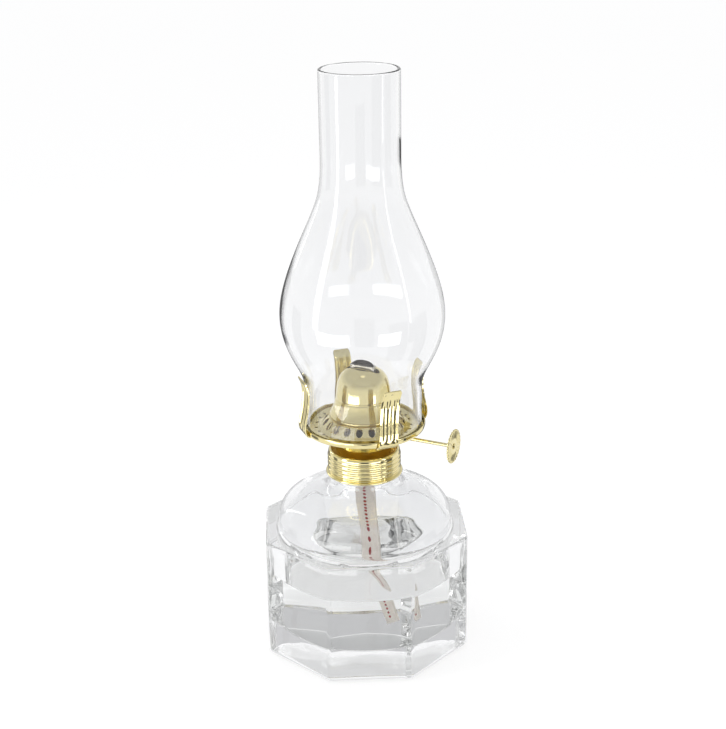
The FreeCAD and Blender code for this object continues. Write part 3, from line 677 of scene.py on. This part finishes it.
dye = two_tones(tree, RED_DYE, DEEP_RED, mottle(tree, 1200, 0.0, 1.0, 3.0))
tree.links.new(dye, main.inputs["Base Color"])
main.inputs["Roughness"].default_value = 0.7
relief(tree, main, mottle(tree, 2500, 0.0, 1.0), 0.0001)
stitches.data.materials.append(thread)
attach(stitches, "wick")

# ---- Wick spindle ----------------------------------------------------------------------------
# Brass wire shaft through the bowl's bush, headed over at both ends, with two toothed spur
# wheels pressed on it that bite the wick.
SHAFT_Z, SHAFT_OFFSET, SHAFT_RADIUS = 122.0, 4.8, 1.0
upright = Vector((0, 0, 1))
to_spindle = Matrix((upright, spindle_way.cross(upright), spindle_way)).transposed().to_4x4()
to_spindle.translation = (spindle_side * SHAFT_OFFSET + upright * SHAFT_Z) * MM
outline = [(0, -9.4), (0.9, -9.35), (1.4, -9.1), (1.5, -8.8), (1.4, -8.6), (SHAFT_RADIUS, -8.55),
           (SHAFT_RADIUS, 10), (SHAFT_RADIUS, 30), (SHAFT_RADIUS, 51.05), (1.6, 51.12), (1.62, 51.3),
           (1.3, 51.55), (0.7, 51.68), (0, 51.7)]
shaft = spun("spindle_wire", outline, closed=False)
shaft.data.transform(to_spindle)
shaft.data.materials.append(polished)
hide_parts("wick_shaft")
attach(shaft, "spindle")
refinish("spur_wheel_inner", plain)
refinish("spur_wheel_outer", plain)

# ---- Thumb wheel -----------------------------------------------------------------------------
# Stamped brass disc on the shaft's end: a scalloped edge for the fingers, pressed rays and a
# raised boss in the middle, on a short turned hub.
KNOB_FACE, KNOB_RADIUS, KNOB_SHEET, EDGE_ROUND = 50.3, 9.5, 0.5, 0.12
SCALLOPS, SCALLOP_FOOT, SCALLOP_DEPTH = 24, 8.2, 0.25
BOSS_HEIGHT, BOSS_RADIUS, RAY_HEIGHT, RIM_HEIGHT, RIM_RADIUS = 0.16, 2.6, 0.30, 0.25, 8.9
angles = [2 * math.pi * k / (SCALLOPS * 10) for k in range(SCALLOPS * 10)]
radii = [1.05, 1.5, 2.0, 2.4, 2.8, 3.1, 3.4, 3.8, 4.4, 5.2, 6.0, 6.8, 7.5, 8.0, 8.4, 8.8, 9.15, 9.38,
         KNOB_RADIUS]


def knob_relief(radius, angle):
    """Height of the pressed pattern over the flat of the disc."""
    boss = BOSS_HEIGHT / (1 + math.exp((radius - BOSS_RADIUS) / 0.45))
    rays = 0.5 - 0.5 * math.cos(SCALLOPS * angle)
    span = along(radius, 3.9, 1.0) * along(radius, 9.2, -0.8)
    rim = RIM_HEIGHT * math.exp(-((radius - RIM_RADIUS) / 0.35) ** 2)
    return boss + RAY_HEIGHT * (1 - rays) * span + rim


front, back = [], []
for radius in radii:
    edge = along(radius, SCALLOP_FOOT, KNOB_RADIUS - SCALLOP_FOOT)
    for side, rows in ((KNOB_SHEET, front), (0.0, back)):
        pull = EDGE_ROUND * (edge > 0.98)
        ring = []
        for a in angles:
            reach = radius - edge * SCALLOP_DEPTH * (1 - math.cos(SCALLOPS * a)) - pull
            depth = KNOB_FACE + side + knob_relief(radius, a) + (-pull if side else pull)
            ring.append((reach * math.cos(a), reach * math.sin(a), depth))
        rows.append(ring)
thumb_wheel = ring_mesh("thumb_wheel", front + back[::-1], closed=True, crease=60)
thumb_wheel.data.transform(to_spindle)
thumb_wheel.data.materials.append(polished)
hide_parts("wick_knob")
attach(thumb_wheel, "spindle")
outline = [(1.02, 48.1), (1.7, 48.1), (2.0, 48.5), (2.0, 50.1), (2.3, 50.4), (1.02, 50.4)]
hub = spun("thumb_wheel_hub", eased(outline, 0.3))
hub.data.transform(to_spindle)
hub.data.materials.append(polished)
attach(hub, "spindle")

# ---- Chimney ---------------------------------------------------------------------------------
# Blown clear glass: a straight foot that stands in the gallery, a swelling bulb round the flame
# and a long neck, its top edge melted round. Blowing leaves the wall gently uneven.
WALL, FITTER_RADIUS, CHIMNEY_NECK, TOP_ROUND = 2.0, 31.6, 21.0, 1.0
CHIMNEY_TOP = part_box("chimney")[1].z / MM
CHIMNEY_LINE = [(FITTER_RADIUS, 150), (FITTER_RADIUS, 154), (33.2, 160), (36.8, 166), (42.4, 178),
                (44.4, 190), (43.2, 202), (38.6, 217), (32, 233), (25.2, 248), (CHIMNEY_NECK, 260),
                (CHIMNEY_NECK, 275)]
NECK_ROWS = [285, 295, 305, 314, CHIMNEY_TOP - 1.2]
TWO_WAVES, THREE_WAVES = 0.10, 0.07
CHIMNEY_TINT, BLOWN_WAVE = (0.95, 0.953, 0.957, 1), 0.00006


def blown(radius, angle, z, share):
    """Radius with the slow unevenness of blown glass; the outer skin stays inside its true line."""
    free = along(z, 165, 20)
    sway = TWO_WAVES * math.sin(2 * angle + z / 31 + share)
    sway += THREE_WAVES * math.sin(3 * angle - z / 19 + 2 * share)
    return radius - free * (TWO_WAVES + THREE_WAVES + sway) if share == 0 else radius + free * sway


bulb = smooth_line(CHIMNEY_LINE, 130)
outside = [(FITTER_RADIUS - 0.5, SEAT + 0.02), (FITTER_RADIUS - 0.1, SEAT + 0.2), (FITTER_RADIUS, SEAT + 0.7),
           (FITTER_RADIUS, 139)] + bulb
outside += [(CHIMNEY_NECK, z) for z in NECK_ROWS]
outside += bend((CHIMNEY_NECK - TOP_ROUND, CHIMNEY_TOP - TOP_ROUND), TOP_ROUND, 0, 90, 6)
inside = bend((CHIMNEY_NECK - WALL + TOP_ROUND, CHIMNEY_TOP - TOP_ROUND), TOP_ROUND, 90, 180, 6)
inside += [(CHIMNEY_NECK - WALL, z) for z in NECK_ROWS[::-1]]
inside += [(r - WALL, z) for r, z in bulb[::-1]]
inside += [(FITTER_RADIUS - WALL, 139), (FITTER_RADIUS - WALL, SEAT + 0.7),
           (FITTER_RADIUS - WALL + 0.1, SEAT + 0.2), (FITTER_RADIUS - WALL + 0.5, SEAT + 0.02)]
angles = [2 * math.pi * k / LATHE_STEPS for k in range(LATHE_STEPS)]
rings = []
for share, side in ((0, outside), (1, inside)):
    for r, z in side:
        reach = [blown(r, a, z, share) for a in angles]
        rings.append([(q * math.cos(a), q * math.sin(a), z) for q, a in zip(reach, angles)])
chimney = ring_mesh("blown_chimney", rings, closed=True, crease=60)
chimney.data.materials.append(clear_glass("blown_glass", GLASS_IOR, BLOWN_WAVE, CHIMNEY_TINT))
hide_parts("chimney")
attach(chimney, "chimney")

# ---- Studio ----------------------------------------------------------------------------------
# A plain pale floor that runs out of sight under soft lamps. Dark cloths on it, and lit and dark
# panels stood on it, are hidden from the camera: they give the brass and the glass their edges.
REACH, FLOOR_DROP, FLOOR_GREY, FLOOR_GLOW = 14.0, -0.0003, 0.30, 0.79
floor_mesh = bpy.data.meshes.new("studio_floor")
floor_mesh.from_pydata([(-REACH, -REACH, FLOOR_DROP), (REACH, -REACH, FLOOR_DROP),
                        (REACH, REACH, FLOOR_DROP), (-REACH, REACH, FLOOR_DROP)], [], [(0, 1, 2, 3)])
studio_floor = bpy.data.objects.new("studio_floor", floor_mesh)
bpy.context.scene.collection.objects.link(studio_floor)
pale, tree, main = shader("pale_floor")
main.inputs["Base Color"].default_value = (FLOOR_GREY, FLOOR_GREY, FLOOR_GREY, 1)
main.inputs["Roughness"].default_value = 1.0
main.inputs["Specular IOR Level"].default_value = 0.0
main.inputs["Emission Color"].default_value = (1, 1, 1, 1)
main.inputs["Emission Strength"].default_value = FLOOR_GLOW
studio_floor.data.materials.append(pale)

SKY_LOW, SKY_HIGH = (1.0, 1.0, 1.0, 1), (0.62, 0.62, 0.63, 1)
world = bpy.data.worlds.new("studio")
bpy.context.scene.world = world
world.use_nodes = True
tree = world.node_tree
sky = tree.nodes["Background"]
place = tree.nodes.new("ShaderNodeTexCoord")
split = tree.nodes.new("ShaderNodeSeparateXYZ")
ramp = tree.nodes.new("ShaderNodeValToRGB")
ramp.color_ramp.elements[0].position = 0.02
ramp.color_ramp.elements[0].color = SKY_LOW
ramp.color_ramp.elements[1].position = 0.5
ramp.color_ramp.elements[1].color = SKY_HIGH
tree.links.new(place.outputs["Generated"], split.inputs["Vector"])
tree.links.new(split.outputs["Z"], ramp.inputs["Fac"])
tree.links.new(ramp.outputs["Color"], sky.inputs["Color"])
sky.inputs["Strength"].default_value = 1.0
# light turns many times inside thick glass before it comes out
light_paths = bpy.context.scene.cycles
light_paths.max_bounces = 28
light_paths.transmission_bounces = 24
light_paths.glossy_bounces = 20


def soft_lamp(name, place, aim, width, height, power):
    """Soft box seen in polished surfaces, not by the camera and not through glass."""
    lamp = bpy.data.lights.new(name, "AREA")
    lamp.shape = "RECTANGLE"
    lamp.size, lamp.size_y, lamp.energy = width, height, power
    piece = bpy.data.objects.new(name, lamp)
    piece.location = place
    piece.rotation_euler = (Vector(aim) - Vector(place)).to_track_quat("-Z", "Y").to_euler()
    piece.visible_camera = False
    piece.visible_transmission = False
    bpy.context.scene.collection.objects.link(piece)


soft_lamp("window_left", (-0.60, -0.24, 0.45), (0, 0, 0.2), 0.12, 0.9, 1.6)
soft_lamp("strip_right", (0.62, -0.30, 0.45), (0, 0, 0.2), 0.04, 0.7, 0.4)
soft_lamp("overhead", (-0.1, -0.1, 1.3), (0, 0, 0.1), 1.1, 1.1, 1.8)
soft_lamp("back_left", (-0.6, 0.6, 0.5), (0, 0, 0.2), 0.06, 0.6, 0.5)


def mirror_card(name, corners, grey, glow, through_glass):
    """Card that polished surfaces mirror and the camera doesn't see, unless it shows through glass."""
    card_mesh = bpy.data.meshes.new(name)
    card_mesh.from_pydata(corners, [], [tuple(range(len(corners)))])
    cloth, tree, main = shader(name)
    main.inputs["Base Color"].default_value = (grey, grey, grey, 1)
    main.inputs["Roughness"].default_value = 0.9
    main.inputs["Emission Color"].default_value = (1, 1, 1, 1)
    main.inputs["Emission Strength"].default_value = glow
    card_mesh.materials.append(cloth)
    card = bpy.data.objects.new(name, card_mesh)
    bpy.context.scene.collection.objects.link(card)
    card.visible_camera = False
    card.visible_diffuse = False
    card.visible_transmission = through_glass
    card.visible_shadow = False


def round_at(radius, degrees, z):
    return (radius * math.cos(math.radians(degrees)), radius * math.sin(math.radians(degrees)), z)


# wedges of dark cloth on the floor: start and end in degrees round the lamp, and grey
CLOTHS = ((-58, -30, 0.10), (-18, 4, 0.10), (46, 80, 0.30), (100, 134, 0.30), (158, 176, 0.20))
CLOTH_NEAR, CLOTH_FAR, CLOTH_Z, CLOTH_STEPS = 0.19, 4.0, 0.001, 8
for start, end, grey in CLOTHS:
    turns = [start + (end - start) * k / CLOTH_STEPS for k in range(CLOTH_STEPS + 1)]
    corners = [round_at(CLOTH_NEAR, d, CLOTH_Z) for d in turns]
    corners += [round_at(CLOTH_FAR, d, CLOTH_Z) for d in turns[::-1]]
    mirror_card(f"dark_card_{start + 180}", corners, grey, 0.0, False)
# upright panels before the lamp: start and end in degrees, foot, top, grey and glow
PANEL_AWAY = 0.40
PANELS = ((-156, -110, 0.0, 0.115, 0.8, 3.6), (-72, -42, 0.0, 0.115, 0.8, 3.6),
          (-104, -78, 0.0, 0.24, 0.06, 0.02), (-30, -16, 0.0, 0.16, 0.06, 0.02))
for start, end, low, high, grey, glow in PANELS:
    corners = [round_at(PANEL_AWAY, start, low), round_at(PANEL_AWAY, end, low),
               round_at(PANEL_AWAY, end, high), round_at(PANEL_AWAY, start, high)]
    mirror_card(f"panel_{start + 180}", corners, grey, glow, glow > 1)

# ---- Camera ----------------------------------------------------------------------------------
# Three-quarter height view from the front, looking down on the lamp.
LENS, SENSOR = 71.31, 36
CAMERA_PLACE, CAMERA_AIM, CAMERA_ROLL = (-0.03028, -0.72237, 0.4344), (0.0392, 0.9352, -0.3518), -0.75
view = bpy.data.cameras.new("camera")
view.lens = LENS
view.sensor_width = SENSOR
camera = bpy.data.objects.new("camera", view)
camera.location = CAMERA_PLACE
aim = Vector(CAMERA_AIM).to_track_quat("-Z", "Y").to_matrix()
camera.rotation_euler = (aim @ Matrix.Rotation(math.radians(CAMERA_ROLL), 3, "Z")).to_euler()
bpy.context.scene.collection.objects.link(camera)
bpy.context.scene.camera = camera
bpy.context.scene.view_settings.view_transform = "Standard"
